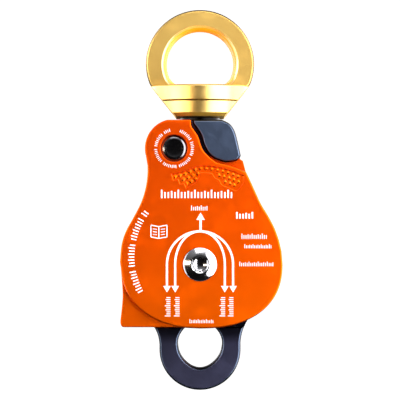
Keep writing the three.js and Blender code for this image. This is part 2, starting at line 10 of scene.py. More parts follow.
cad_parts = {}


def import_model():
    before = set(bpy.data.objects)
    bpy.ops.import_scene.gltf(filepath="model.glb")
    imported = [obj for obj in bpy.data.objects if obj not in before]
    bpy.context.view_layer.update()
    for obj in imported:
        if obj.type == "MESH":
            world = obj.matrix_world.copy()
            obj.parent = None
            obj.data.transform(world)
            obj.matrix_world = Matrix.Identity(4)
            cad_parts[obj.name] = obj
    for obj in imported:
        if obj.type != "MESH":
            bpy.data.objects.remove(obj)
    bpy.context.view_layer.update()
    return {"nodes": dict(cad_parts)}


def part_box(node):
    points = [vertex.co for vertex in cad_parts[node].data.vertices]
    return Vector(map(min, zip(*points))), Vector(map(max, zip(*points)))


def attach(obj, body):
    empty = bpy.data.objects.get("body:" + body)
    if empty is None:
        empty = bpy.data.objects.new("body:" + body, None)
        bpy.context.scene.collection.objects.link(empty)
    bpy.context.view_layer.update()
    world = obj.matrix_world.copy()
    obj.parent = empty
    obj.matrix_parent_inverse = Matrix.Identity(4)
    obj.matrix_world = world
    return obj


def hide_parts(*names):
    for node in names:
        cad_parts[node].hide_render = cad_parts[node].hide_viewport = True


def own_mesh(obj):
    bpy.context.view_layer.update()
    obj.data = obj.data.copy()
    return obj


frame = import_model()

# ---- Places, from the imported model. Shapes below are in mm: x to the right and z up from the
# axle, and depth towards the front (y is minus the depth). ----------------------------------------
MM = 0.001


def spans(node):
    """The (low, high) corner of a node in mm, with z from the axle."""
    low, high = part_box(node)
    return [v / MM for v in low], [v / MM for v in high]


_axle_low, _axle_high = spans("axle_bolt")
AXLE_Z = (_axle_low[2] + _axle_high[2]) / 2
PLATE_OUTER = -spans("front_side_plate")[0][1]
PLATE_INNER = -spans("front_side_plate")[1][1]
PLATE_LEDGE = PLATE_INNER + 2.5
PLATE_BOTTOM = AXLE_Z - spans("front_side_plate")[0][2]
PLATE_R = spans("front_side_plate")[1][0]
AXLE_CROWN = -_axle_low[1]
AXLE_HEAD_R = (_axle_high[0] - _axle_low[0]) / 2
_button_low, _button_high = spans("front_button")
BUTTON = ((_button_low[0] + _button_high[0]) / 2, (_button_low[2] + _button_high[2]) / 2 - AXLE_Z)
BUTTON_R = (_button_high[0] - _button_low[0]) / 2
BUTTON_TOP = -_button_low[1]
EYE_TOP = spans("swivel_eye")[1][2] - AXLE_Z
EYE_R = 28.6
EYE_Z = EYE_TOP - EYE_R
EYE_BASE_Z = spans("swivel_eye")[0][2] - AXLE_Z
BASE_R = spans("swivel_eye")[1][1]
EYE_SEAT_Z = EYE_Z - 11.5
HEAD_TOP_Z = spans("frame")[1][2] - AXLE_Z
BECKET_LOW = spans("frame")[0][2] - AXLE_Z
BECKET_R = 21.5
BECKET_Z = BECKET_LOW + BECKET_R
HEAD_DEPTH = 20.4
BUTTON_HOLE_R = BUTTON_R + 0.25
AXLE_R = 6.0
EYE_HALF = 8.5           # half the ring's thickness
HOLE_CHAMFER = 7.4       # where the chamfer of the eye's hole starts
EYE_GROOVE_Z = 85.3      # the turned groove round the eye's base
WEB_HALF = 3.5           # half the centre web's thickness
WEB_R = 38.0
BECKET_HALF = 5.0
BECKET_NECK_Z = -32.7    # where the becket grows thicker than the web


# ---- Outlines ------------------------------------------------------------------------------------

def polar(radius, degrees, cx=0.0, cz=0.0):
    t = math.radians(degrees)
    return (cx + radius * math.cos(t), cz + radius * math.sin(t))


def arc(radius, start, end, cx=0.0, cz=0.0, step=2.5):
    count = max(2, int(round(abs(end - start) / step)))
    return [polar(radius, start + (end - start) * i / count, cx, cz) for i in range(count + 1)]


def spline(points, per_span=6):
    """A smooth curve through the points."""
    out = []
    last = len(points) - 1
    for i in range(last):
        a, b = points[max(i - 1, 0)], points[i]
        c, d = points[i + 1], points[min(i + 2, last)]
        for k in range(per_span):
            t = k / per_span
            out.append(tuple(
                0.5 * (2 * q + (r - p) * t + (2 * p - 5 * q + 4 * r - s) * t * t
                       + (3 * q - p - 3 * r + s) * t ** 3)
                for p, q, r, s in zip(a, b, c, d)))
    out.append(tuple(points[-1]))
    return out


def bend(a, control, b, count=8):
    out = []
    for i in range(count + 1):
        t = i / count
        out.append(tuple((1 - t) ** 2 * p + 2 * t * (1 - t) * q + t * t * r
                         for p, q, r in zip(a, control, b)))
    return out


def squircle(half_x, half_z, power, start, end, step=3.0):
    count = max(2, int(round(abs(end - start) / step)))
    out = []
    for i in range(count + 1):
        t = math.radians(start + (end - start) * i / count)
        c, s = math.cos(t), math.sin(t)
        out.append((math.copysign(half_x * abs(c) ** (2 / power), c),
                    math.copysign(half_z * abs(s) ** (2 / power), s)))
    return out


def tidy(points, least=0.12):
    """Drops points that nearly coincide with the one before, and makes the outline anticlockwise."""
    out = []
    for p in points:
        if not out or math.dist(p, out[-1]) > least:
            out.append(p)
    while math.dist(out[0], out[-1]) <= least:
        out.pop()
    area = sum(a[0] * b[1] - b[0] * a[1] for a, b in zip(out, out[1:] + out[:1]))
    return out if area > 0 else out[::-1]


def inset(points, distance):
    """The anticlockwise outline moved inward by distance, or outward if it is negative."""
    if abs(distance) < 1e-9:
        return list(points)
    out = []
    count = len(points)
    for i in range(count):
        p, q, r = points[i - 1], points[i], points[(i + 1) % count]
        ax, az = q[0] - p[0], q[1] - p[1]
        bx, bz = r[0] - q[0], r[1] - q[1]
        la, lb = math.hypot(ax, az), math.hypot(bx, bz)
        nx, nz = -az / la - bz / lb, ax / la + bx / lb
        length = math.hypot(nx, nz)
        nx, nz = nx / length, nz / length
        cosine = max(0.45, nx * -az / la + nz * ax / la)
        out.append((q[0] + nx * distance / cosine, q[1] + nz * distance / cosine))
    return out


RIGHT_FLANK = [(40.9, 12.6), (38.6, 18.8), (35.3, 25.1), (31.6, 31.3), (28.7, 37.5), (25.9, 43.7), (23.9, 47.8)]
LEFT_FLANK = [(-27.2, 51), (-27.3, 46), (-28.3, 39.3), (-30.6, 32), (-34.6, 24.1), (-38.3, 17.4),
              (-40.6, 10.5), (-41.5, 1.2)]
TOP_EDGE = [(5.3, 56.2), (2.3, 58.4), (0.6, 61.5), (-0.9, 66.2), (-4.3, 71.4), (-4.7, HEAD_TOP_Z)]
LOBE_R = 15.2


def ear():
    rise = math.degrees(math.asin((HEAD_TOP_Z - BUTTON[1]) / LOBE_R))
    return arc(LOBE_R, 180 - rise, 195, *BUTTON)


def disc_right():
    return squircle(PLATE_R, PLATE_BOTTOM, 2.3, 270, 360)


def raised_outline():
    return tidy(disc_right() + [polar(PLATE_R, 9)] + spline(RIGHT_FLANK) + arc(53.4, 63.5, 80.5)
                + spline([(5.3, 55.2)] + TOP_EDGE[1:5]) + [TOP_EDGE[5]] + ear() + spline(LEFT_FLANK)
                + squircle(40.9, PLATE_BOTTOM, 2.2, 188, 262))


def ledge_outline():
    return tidy(disc_right() + [polar(PLATE_R, 9)] + spline(RIGHT_FLANK)
                + [(22.4, 53.6), polar(58.6, 69.6), polar(58.6, 74), polar(57.6, 80)]
                + spline(TOP_EDGE[:5]) + [TOP_EDGE[5]] + ear() + spline(LEFT_FLANK)
                + spline([(-40.9, -6), (-40.3, -15), (-40.5, -20.5), (-41.4, -28.8)])
                + bend((-41.4, -28.8), (-41.8, -32.9), (-39.4, -32.9)) + [(-9, -32.9)])


BOSS_RIGHT = [(20.3, 60.3), (18.2, 68.5), (15.5, 72.7), (11.4, HEAD_TOP_Z)]


def boss_outline():
    return tidy([polar(54.3, 76)] + spline([(15.8, 53), (19, 53.7), (21.2, 56.1)]) + spline(BOSS_RIGHT)
                + [(-4, HEAD_TOP_Z)] + spline([(-3.4, 72.6), (0.3, 67.2), (2, 61.9), (4.8, 57), (7.9, 54.5)]))


def head_outline():
    rise = math.degrees(math.asin((HEAD_TOP_Z - BUTTON[1]) / 14.9))
    return tidy([polar(54, 68)] + spline([(20.9, 55.5)] + BOSS_RIGHT) + arc(14.9, 180 - rise, 180, *BUTTON)
                + [(-26.4, 50)] + arc(54, 119.2, 68))


def becket_outline():
    return tidy(bend((-29, -29), (-22, -34.5), (-BECKET_R, -43)) + arc(BECKET_R, 180, 360, 0, BECKET_Z)
                + bend((BECKET_R, -42), (22, -35), (26, -29)) + [(26, -24), (-29, -24)])


def becket_hole():
    r, z = 11.7, -43
    return tidy(arc(r, 0, 180, 0, z) + spline([(-r, z), (-10.9, z - 4.2), (-8.6, z - 8.1), (-4.6, z - 11.5),
                (0, z - 12.8), (4.6, z - 11.5), (8.6, z - 8.1), (10.9, z - 4.2), (r, z)]))


def eye_outline():
    half = 14 + 0.82 * (EYE_BASE_Z - 78.6)
    return tidy([(-half, EYE_BASE_Z), (half, EYE_BASE_Z)] + arc(EYE_R, -22, 202, 0, EYE_Z))


def eye_hole():
    r = 17.6
    right = polar(r, -24, 0, EYE_Z)
    return tidy(arc(r, -24, 204, 0, EYE_Z)
                + bend((-right[0], right[1]), (-13.2, EYE_SEAT_Z), (-8.5, EYE_SEAT_Z))
                + bend((8.5, EYE_SEAT_Z), (13.2, EYE_SEAT_Z), right))


# ---- Mesh making ---------------------------------------------------------------------------------

def world(x, depth, z, rear=False):
    return Vector((x * MM, (depth if rear else -depth) * MM, (AXLE_Z + z) * MM))


def slab(outline, levels, holes=(), rear=False):
    """A plate as (verts, faces): the outline at each (depth, inset) level, closed by two caps.
    Each hole is (outline, [(depth, widening), ...]), whose ends lie on the caps."""
    verts, faces = [], []

    def loop(points, depth):
        start = len(verts)
        verts.extend(world(x, depth, z, rear) for x, z in points)
        return list(range(start, len(verts)))

    def walls(rings):
        for low, high in zip(rings, rings[1:]):
            count = len(low)
            for i in range(count):
                j = (i + 1) % count
                faces.append((low[i], low[j], high[j], high[i]))

    outer = [loop(inset(outline, d), depth) for depth, d in levels]
    walls(outer)
    inner = []
    for points, steps in holes:
        rings = [loop(inset(points, -d), depth) for depth, d in steps]
        walls(rings)
        inner.append(rings)
    for end in (0, -1):
        rings = [outer[end]] + [r[end] for r in inner]
        flat = [[Vector((verts[i].x, verts[i].z, 0)) for i in ring] for ring in rings]
        index = [i for ring in rings for i in ring]
        faces.extend(tuple(index[k] for k in tri) for tri in tessellate_polygon(flat))
    return verts, faces


def turned(profile, sides=96, centre=(0.0, 0.0), upright=False, ring=False, rear=False):
    """A turned body from (radius, position) points: position is a depth, or a height if upright.
    A ring's profile is closed; otherwise it starts and ends on the axis."""
    verts, faces = [], []

    def put(radius, t, angle):
        if upright:
            return Vector(((centre[0] + radius * math.cos(angle)) * MM, radius * math.sin(angle) * MM,
                           (AXLE_Z + t) * MM))
        return world(centre[0] + radius * math.cos(angle), t, centre[1] + radius * math.sin(angle), rear)

    rows = []
    for radius, t in profile:
        if radius < 1e-6:
            verts.append(put(0, t, 0))
            rows.append([len(verts) - 1])
            continue
        start = len(verts)
        verts.extend(put(radius, t, 2 * math.pi * i / sides) for i in range(sides))
        rows.append(list(range(start, len(verts))))
    pairs = list(zip(rows, rows[1:])) + ([(rows[-1], rows[0])] if ring else [])
    for low, high in pairs:
        if len(low) == 1 and len(high) == 1:
            continue
        for i in range(sides):
            j = (i + 1) % sides
            if len(low) == 1:
                faces.append((low[0], high[j], high[i]))
            elif len(high) == 1:
                faces.append((low[i], low[j], high[0]))
            else:
                faces.append((low[i], low[j], high[j], high[i]))
    return verts, faces


def rounded(low, high, low_r, high_r, steps=4):
    """(depth, inset) levels from depth low to high, with the edges rounded to the radii."""
    turns = [math.radians(90 * k / steps) for k in range(steps + 1)]
    bottom = [(low + low_r * (1 - math.cos(t)), low_r * (1 - math.sin(t))) for t in turns]
    top = [(high - high_r * (1 - math.sin(t)), high_r * (1 - math.cos(t))) for t in turns]
    return (bottom if low_r > 0 else [(low, 0.0)]) + (top if high_r > 0 else [(high, 0.0)])


def crisp(low, high, steep=0.45, shallow=0.45):
    """(depth, inset) levels with a steep and then a shallow chamfer at both edges."""
    top = [(high - 1.5, 0.0), (high - 1.42, 0.02), (high - 0.3, steep), (high - 0.03, steep + shallow - 0.03),
           (high, steep + shallow + 0.03)]
    return [(low + high - d, i) for d, i in reversed(top)] + top


def soft_corners(profile, radius=0.25, steps=3, closed=False):
    """A turned profile with its corners rounded, apart from points on the axis."""
    out = []
    count = len(profile)
    for i, q in enumerate(profile):
        if (not closed and i in (0, count - 1)) or q[0] < 1e-6:
            out.append(q)
            continue
        p, r = profile[i - 1], profile[(i + 1) % count]
        la, lb = math.dist(p, q), math.dist(q, r)
        cut = min(radius, la * 0.4, lb * 0.4)
        a = tuple(q[k] + (p[k] - q[k]) * cut / la for k in (0, 1))
        b = tuple(q[k] + (r[k] - q[k]) * cut / lb for k in (0, 1))
        out.extend(bend(a, q, b, steps))
    return out


def make(name, parts):
    """One object from several (verts, faces) shells."""
    verts, faces = [], []
    for part_verts, part_faces in parts:
        base = len(verts)
        verts.extend(part_verts)
        faces.extend(tuple(i + base for i in f) for f in part_faces)
    mesh = bpy.data.meshes.new(name)
    mesh.from_pydata(verts, [], faces)
    bm = bmesh.new()
    bm.from_mesh(mesh)
    bmesh.ops.remove_doubles(bm, verts=bm.verts, dist=1e-7)
    bmesh.ops.recalc_face_normals(bm, faces=bm.faces)
    bm.to_mesh(mesh)
    bm.free()
    obj = bpy.data.objects.new(name, mesh)
    bpy.context.scene.collection.objects.link(obj)
    return obj


def combine(obj, how, shells):
    """Joins or cuts obj with other closed shells or objects, one after another."""
    for shell in shells:
        tool = shell if isinstance(shell, bpy.types.Object) else make("tool", [shell])
        modifier = obj.modifiers.new("solid", "BOOLEAN")
        modifier.operation = how
        modifier.solver = "EXACT"
        modifier.object = tool
        bpy.context.view_layer.update()
        graph = bpy.context.evaluated_depsgraph_get()
        result = bpy.data.meshes.new_from_object(obj.evaluated_get(graph))
        obj.modifiers.clear()
        old, obj.data = obj.data, result
        bpy.data.meshes.remove(old)
        spent = tool.data
        bpy.data.objects.remove(tool)
        bpy.data.meshes.remove(spent)
    return obj


def finish(obj, material, body, nodes=(), sharp=34.0, weighted=True):
    """Shades, paints and attaches a piece."""
    mesh = obj.data
    bm = bmesh.new()
    bm.from_mesh(mesh)
    bmesh.ops.remove_doubles(bm, verts=bm.verts, dist=2e-6)
    bmesh.ops.dissolve_degenerate(bm, edges=bm.edges, dist=1e-6)
    bm.to_mesh(mesh)
    bm.free()
    mesh.shade_smooth()
    mesh.set_sharp_from_angle(angle=math.radians(sharp))
    if not mesh.materials:
        mesh.materials.append(material)
    if weighted:
        modifier = obj.modifiers.new("normals", "WEIGHTED_NORMAL")
        modifier.keep_sharp = True
        modifier.weight = 80
    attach(obj, body)
    if nodes:
        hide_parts(*nodes)
    return obj


# ---- Materials -----------------------------------------------------------------------------------

def node(tree, kind, **settings):
    n = tree.nodes.new(kind)
    for key, value in settings.items():
        setattr(n, key, value)
    return n


def linear(hex_colour):
    out = []
    for i in (0, 2, 4):
        c = int(hex_colour[i:i + 2], 16) / 255
        out.append(c / 12.92 if c <= 0.04045 else ((c + 0.055) / 1.055) ** 2.4)
    return (*out, 1.0)


def noise(tree, coords, scale, detail=3.0, roughness=0.55, stretch=None):
    source = coords
    if stretch:
        mapping = node(tree, "ShaderNodeMapping")
        mapping.inputs["Scale"].default_value = stretch
        tree.links.new(coords, mapping.inputs["Vector"])
        source = mapping.outputs["Vector"]
    n = node(tree, "ShaderNodeTexNoise")
    n.inputs["Scale"].default_value = scale
    n.inputs["Detail"].default_value = detail
    n.inputs["Roughness"].default_value = roughness
    tree.links.new(source, n.inputs["Vector"])
    return n.outputs["Fac"]


def ramp(tree, value, low, high, out_low, out_high):
    n = node(tree, "ShaderNodeMapRange")
    n.inputs["From Min"].default_value = low
    n.inputs["From Max"].default_value = high
    n.inputs["To Min"].default_value = out_low
    n.inputs["To Max"].default_value = out_high
    tree.links.new(value, n.inputs["Value"])
    return n.outputs["Result"]


def blend_colour(tree, factor, a, b):
    n = node(tree, "ShaderNodeMix", data_type="RGBA")
    for socket, colour in ((n.inputs[6], a), (n.inputs[7], b)):
        if isinstance(colour, tuple):
            socket.default_value = colour
        else:
            tree.links.new(colour, socket)
    tree.links.new(factor, n.inputs[0])
    return n.outputs[2]


def edge_mask(tree, width):
    """About 1 on edges within width mm of a sharp bend, 0 on flats."""
    geometry = node(tree, "ShaderNodeNewGeometry")
    bevel = node(tree, "ShaderNodeBevel", samples=4)
    bevel.inputs["Radius"].default_value = width * MM
    dot = node(tree, "ShaderNodeVectorMath", operation="DOT_PRODUCT")
    tree.links.new(geometry.outputs["Normal"], dot.inputs[0])
    tree.links.new(bevel.outputs["Normal"], dot.inputs[1])
    return ramp(tree, dot.outputs["Value"], 0.995, 0.9, 0.0, 1.0)


def painted_light_by_height(tree, coords, stops):
    """Painted light and shade by height: a colour that drifts through the stops, (height in mm from the axle,
    colour) with the lowest first, whose lighter and darker bands stand in for how light falls on the piece.
    """
    height = node(tree, "ShaderNodeSeparateXYZ")
    tree.links.new(coords, height.inputs[0])
    first, last = stops[0][0], stops[-1][0]
    rise = ramp(tree, height.outputs["Z"], (AXLE_Z + first) * MM, (AXLE_Z + last) * MM, 0, 1)
    scale = node(tree, "ShaderNodeValToRGB")
    while len(scale.color_ramp.elements) < len(stops):
        scale.color_ramp.elements.new(0.5)
    for element, (at, hue) in zip(scale.color_ramp.elements, stops):
        element.position = (at - first) / (last - first)
        element.color = linear(hue)
    tree.links.new(rise, scale.inputs["Fac"])
    darker = node(tree, "ShaderNodeMix", data_type="RGBA", blend_type="MULTIPLY")
    darker.inputs[0].default_value = 1.0
    tree.links.new(scale.outputs["Color"], darker.inputs[6])
    darker.inputs[7].default_value = (0.94, 0.94, 0.94, 1)
    return scale.outputs["Color"], darker.outputs[2]


def surface_bump(tree, coords, fine, grain, streaks):
    """The normal from fine grain, and from turning marks if there are streaks. Both are depths in mm."""
    bump = node(tree, "ShaderNodeBump")
    bump.inputs["Strength"].default_value = 0.6
    bump.inputs["Distance"].default_value = grain * MM
    tree.links.new(fine, bump.inputs["Height"])
    if not streaks:
        return bump.outputs["Normal"]
    lines = node(tree, "ShaderNodeBump")
    lines.inputs["Strength"].default_value = 0.5
    lines.inputs["Distance"].default_value = streaks * MM
    turning = noise(tree, coords, 900, 2, 0.5, (0.02, 0.02, 1))
    tree.links.new(turning, lines.inputs["Height"])
    tree.links.new(bump.outputs["Normal"], lines.inputs["Normal"])
    return lines.outputs["Normal"]


def metal(name, colour, tint, worn, roughness, metallic=1.0, spread=0.08, grain=0.015, grain_scale=2600,
          wear=0.5, wear_width=0.35, specular=0.5, streaks=0.0, stops=None):
    """A finish: colour drifts to tint in soft clouds, or through painted light and shade by height from the stops,
    with fine grain in the bump and roughness, small handling marks, and edges that wear towards a paler colour."""
    mat = bpy.data.materials.new(name)
    mat.use_nodes = True
    tree = mat.node_tree
    shader = tree.nodes["Principled BSDF"]
    coords = node(tree, "ShaderNodeTexCoord").outputs["Object"]
    clouds = noise(tree, coords, 42, 4)
    fine = noise(tree, coords, grain_scale, 2, 0.6)
    smudge = noise(tree, coords, 130, 5, 0.62)
    shades = painted_light_by_height(tree, coords, stops) if stops else (linear(colour), linear(tint))
    base = blend_colour(tree, ramp(tree, clouds, 0.35, 0.68, 0, 1), *shades)
    chips = node(tree, "ShaderNodeMath", operation="MULTIPLY")
    tree.links.new(edge_mask(tree, wear_width), chips.inputs[0])
    tree.links.new(ramp(tree, noise(tree, coords, 700, 4, 0.7), 0.46, 0.64, 0, wear), chips.inputs[1])
    tree.links.new(blend_colour(tree, chips.outputs[0], base, linear(worn)), shader.inputs["Base Color"])
    rough = node(tree, "ShaderNodeMath", operation="ADD")
    tree.links.new(ramp(tree, fine, 0.3, 0.7, roughness - spread / 2, roughness + spread / 2), rough.inputs[0])
    tree.links.new(ramp(tree, smudge, 0.5, 0.75, 0, spread), rough.inputs[1])
    tree.links.new(rough.outputs[0], shader.inputs["Roughness"])
    tree.links.new(surface_bump(tree, coords, fine, grain, streaks), shader.inputs["Normal"])
    shader.inputs["Metallic"].default_value = metallic
    shader.inputs["Specular IOR Level"].default_value = specular
    return mat


# Painted light: the orange's height stops run brighter towards the bottom of the plate, as if lit from below.
ORANGE = metal("orange_anodised", "FF5A06", "F95304", "FFA85C", 0.4, spread=0.06, grain=0.012,
               wear=0.3, wear_width=0.3, stops=[(-30, "FF6602"), (10, "FF5C03"), (60, "F25205")])
ORANGE_CUT = metal("orange_machined", "FF5C03", "F25205", "FFC080", 0.24, spread=0.05, grain=0.008,
                   wear=0.3, wear_width=0.12)
GOLD = metal("gold_anodised", "F4CA70", "ECC066", "FFF0C8", 0.37, spread=0.06, grain=0.012, wear=0.4)
# Painted reflection: a deeper orange, non-metallic copy of the gold for the eye's bore, standing in for light
# bounced round inside it.
GOLD_BORE_GLOW = metal("gold_bore_painted_glow", "F6A800", "EEA000", "FFD890", 0.5, metallic=0.0, spread=0.06, grain=0.012, wear=0.3)
GOLD_TURNED = metal("gold_turned", "F2CD7C", "ECC26C", "FFF4D0", 0.3, spread=0.05, grain=0.006, wear=0.4,
                    streaks=0.004)
# Painted highlight: a pale gold for the chamfer round the eye's hole.
GOLD_EDGE_HIGHLIGHT = metal("gold_edge_painted_highlight", "FFE9B4", "F8E0A6", "FFF6DC", 0.3, spread=0.06, grain=0.012, wear=0.3)
# Painted shade: a dark gold for the ring's steep outer chamfer, drawing its dark outline.
GOLD_RIM_SHADE = metal("gold_rim_painted_shade", "6E5218", "624814", "C9A050", 0.34, spread=0.06, grain=0.012, wear=0.15)
# Painted shade: a darker, less metallic gold under the eye's base and in its groove, which also damps the orange
# reflection of the plate there.
GOLD_UNDER_SHADE = metal("gold_painted_shade", "A07A2A", "947024", "C9A860", 0.45, metallic=0.35, spread=0.06, grain=0.012,
                   wear=0.3)
# Painted light and shade: the slate's height stops paint a dark shadow band on the becket just under the side
# plates, and grow lighter towards the becket's bottom as if lit from below.
SLATE = metal("slate_anodised", "4D5971", "465269", "98A4B8", 0.38, spread=0.07, grain=0.014,
              wear=0.45, stops=[(-66, "474862"), (-43, "3D3E56"), (-37.8, "191A26"), (-33, "0C0D14"),
                                     (-10, "343A4A"), (55, "4A566E")])
# Painted shade: a dark slate for the frame's side walls, darker than its faces because of how light falls.
SLATE_WALL_SHADE = metal("slate_wall_painted_shade", "1B2130", "171C29", "78849A", 0.34, spread=0.07, grain=0.014, wear=0.25)
# Painted shade: a near-black slate for the steep chamfers and the shelf over the becket, drawing a dark outline.
SLATE_RIM_SHADE = metal("slate_rim_painted_shade", "0A0D16", "080A12", "3A4254", 0.34, spread=0.07, grain=0.014, wear=0.1)
# Painted highlight: a pale slate for the shallow chamfers round the bosses and the becket.
SLATE_EDGE_HIGHLIGHT = metal("slate_edge_painted_highlight", "5E6A82", "546078", "98A4B8", 0.36, spread=0.07, grain=0.014, wear=0.3)
BLACK = metal("black_anodised", "0B0B0D", "08080A", "4A4C52", 0.3, metallic=0.8, spread=0.08, grain=0.012,
              wear=0.4)
CHROME = metal("polished_steel", "CFCFD2", "C4C5C9", "F4F5F7", 0.11, spread=0.04, grain=0.001, wear=0.2)
NICKEL = metal("dark_nickel", "7A7A80", "6E6E74", "B4B5B8", 0.14, spread=0.04, grain=0.001, wear=0.2)
STEEL = metal("ground_steel", "B4B6BA", "A5A8AD", "E2E3E5", 0.26, spread=0.08, grain=0.006, wear=0.4,
              grain_scale=1800)
SPRING = metal("spring_steel", "8E9297", "7C8086", "D0D2D4", 0.24, spread=0.06, grain=0.004, wear=0.2)
SHEAVE_GREY = metal("sheave_anodised", "8B8F97", "7C8088", "D5D8DC", 0.34, metallic=0.9, spread=0.08,
                    grain=0.01, wear=0.5)
BRONZE = metal("bronze", "A9713A", "98612E", "E0B27C", 0.32, spread=0.1, grain=0.01, wear=0.4)
RUBBER = metal("rubber", "17181A", "1D1E21", "26282B", 0.72, metallic=0.0, spread=0.1, grain=0.03, wear=0.2,
               specular=0.35)
RUBBER_SHIELD = metal("shield_rubber", "202124", "27292C", "34363A", 0.55, metallic=0.0, spread=0.1,
                      grain=0.02, wear=0.2, specular=0.4)
PRINT = metal("pale_print", "DCE6E6", "D2DEDF", "F2F6F6", 0.5, metallic=0.0, spread=0.1, grain=0.006,
              wear=0.1, specular=0.4)


# ---- Swivel eye ----------------------------------------------------------------------------------

def eye_hole_levels(half):
    """(depth, widening): narrowest in the middle, bulging out to a chamfer at each face."""
    front = [(0.0, 0.0), (2.4, 0.1), (4.4, 0.34), (5.9, 0.72), (6.8, 1.1), (HOLE_CHAMFER, 1.5), (7.5, 1.57),
             (8.4, 2.45), (half, 2.62)]
    return [(-d, i) for d, i in reversed(front[1:])] + front


def swivel_eye():
    outline = eye_outline()
    half, groove = EYE_HALF, EYE_GROOVE_Z
    ring = make("eye_ring", [slab(outline, crisp(-half, half, 0.62, 0.4), [(eye_hole(), eye_hole_levels(half))])])
    low_r = BASE_R - 1.0
    profile = [(0, EYE_BASE_Z), (low_r - 2.2, EYE_BASE_Z), (low_r - 0.4, EYE_BASE_Z + 1.9), (low_r, groove - 0.35),
               (low_r - 0.3, groove - 0.25), (low_r - 1.6, groove - 0.1), (low_r - 1.6, groove + 0.1),
               (BASE_R - 0.5, groove + 0.3), (BASE_R - 0.2, groove + 0.45),
               (BASE_R, EYE_SEAT_Z - 0.7), (BASE_R - 0.7, EYE_SEAT_Z), (0, EYE_SEAT_Z)]
    base = turned(soft_corners(profile, 0.15), 160, upright=True)
    wedge = slab(outline, [(-BASE_R - 1, 0), (BASE_R + 1, 0)])
    body = combine(make("base", [base]), "INTERSECT", [wedge])
    bore = turned([(0, EYE_BASE_Z - 1), (5.3, EYE_BASE_Z - 1), (5.3, 89), (0, 90)], 48, upright=True)
    body = combine(body, "DIFFERENCE", [bore])
    combine(ring, "UNION", [body])
    paint_eye(ring.data)
    return finish(ring, GOLD, "swivel", ["swivel_eye"], sharp=26)


def paint_eye(mesh):
    """Gold faces and turned base, with painted light and shade: a painted reflection in a deeper orange copy of
    the gold in the bore, painted shade under the base, in its groove and on the ring's steep outer chamfer, and a
    painted highlight on the hole's chamfer.
    """
    plain, bore_glow, turned_gold, shade_below, rim, edge = range(6)
    for material in (GOLD, GOLD_BORE_GLOW, GOLD_TURNED, GOLD_UNDER_SHADE, GOLD_RIM_SHADE, GOLD_EDGE_HIGHLIGHT):
        mesh.materials.append(material)
    centre = Vector((0, 0, (AXLE_Z + EYE_Z) * MM))
    for face in mesh.polygons:
        across = (face.center - centre) / MM
        radius = math.hypot(across.x, across.z)
        height = face.center.z / MM - AXLE_Z
        depth = abs(face.center.y) / MM
        lean = abs(face.normal.y)
        if lean < 0.03 and face.normal.z < -0.2 and abs(across.x) > 8:
            face.material_index = plain
        elif height < EYE_BASE_Z + 1.95 or abs(height - EYE_GROOVE_Z) < 0.25:
            # Painted shade under the base and in the groove.
            face.material_index = shade_below
        elif height < EYE_SEAT_Z + 0.05 and not (lean > 0.97 and depth < EYE_HALF + 0.1):
            face.material_index = turned_gold
        elif radius < 19.2 and depth < HOLE_CHAMFER + 0.05:
            # Painted reflection inside the bore.
            face.material_index = bore_glow
        elif radius > 22 and 0.2 < lean < 0.62:
            # Painted shade on the ring's steep outer chamfer.
            face.material_index = rim
        elif radius < 22 and lean < 0.96 and depth > HOLE_CHAMFER:
            # Painted highlight on the hole's chamfer.
            face.material_index = edge
        else:
            face.material_index = plain


swivel_eye()


def turned_piece(name, profile, material, body, nodes, slot=None, sides=96, radius=0.2, **where):
    ring = where.get("ring", False)
    points = soft_corners(profile, radius, closed=ring) if radius else profile
    obj = make(name, [turned(points, sides, **where)])
    return finish(obj, material, body, nodes)


turned_piece("collar_ring", [(5.3, 66.3), (9.0, 66.3), (9.0, HEAD_TOP_Z + 0.2), (10.5, HEAD_TOP_Z + 0.2),
             (10.5, EYE_BASE_Z - 0.2), (5.3, EYE_BASE_Z - 0.2), (5.3, 72), (6.9, 72), (6.9, 70), (5.3, 70)],
             BLACK, "frame", ["swivel_collar"], "collar", upright=True, ring=True)


# ---- Frame: head, bosses, web and becket ---------------------------------------------------------

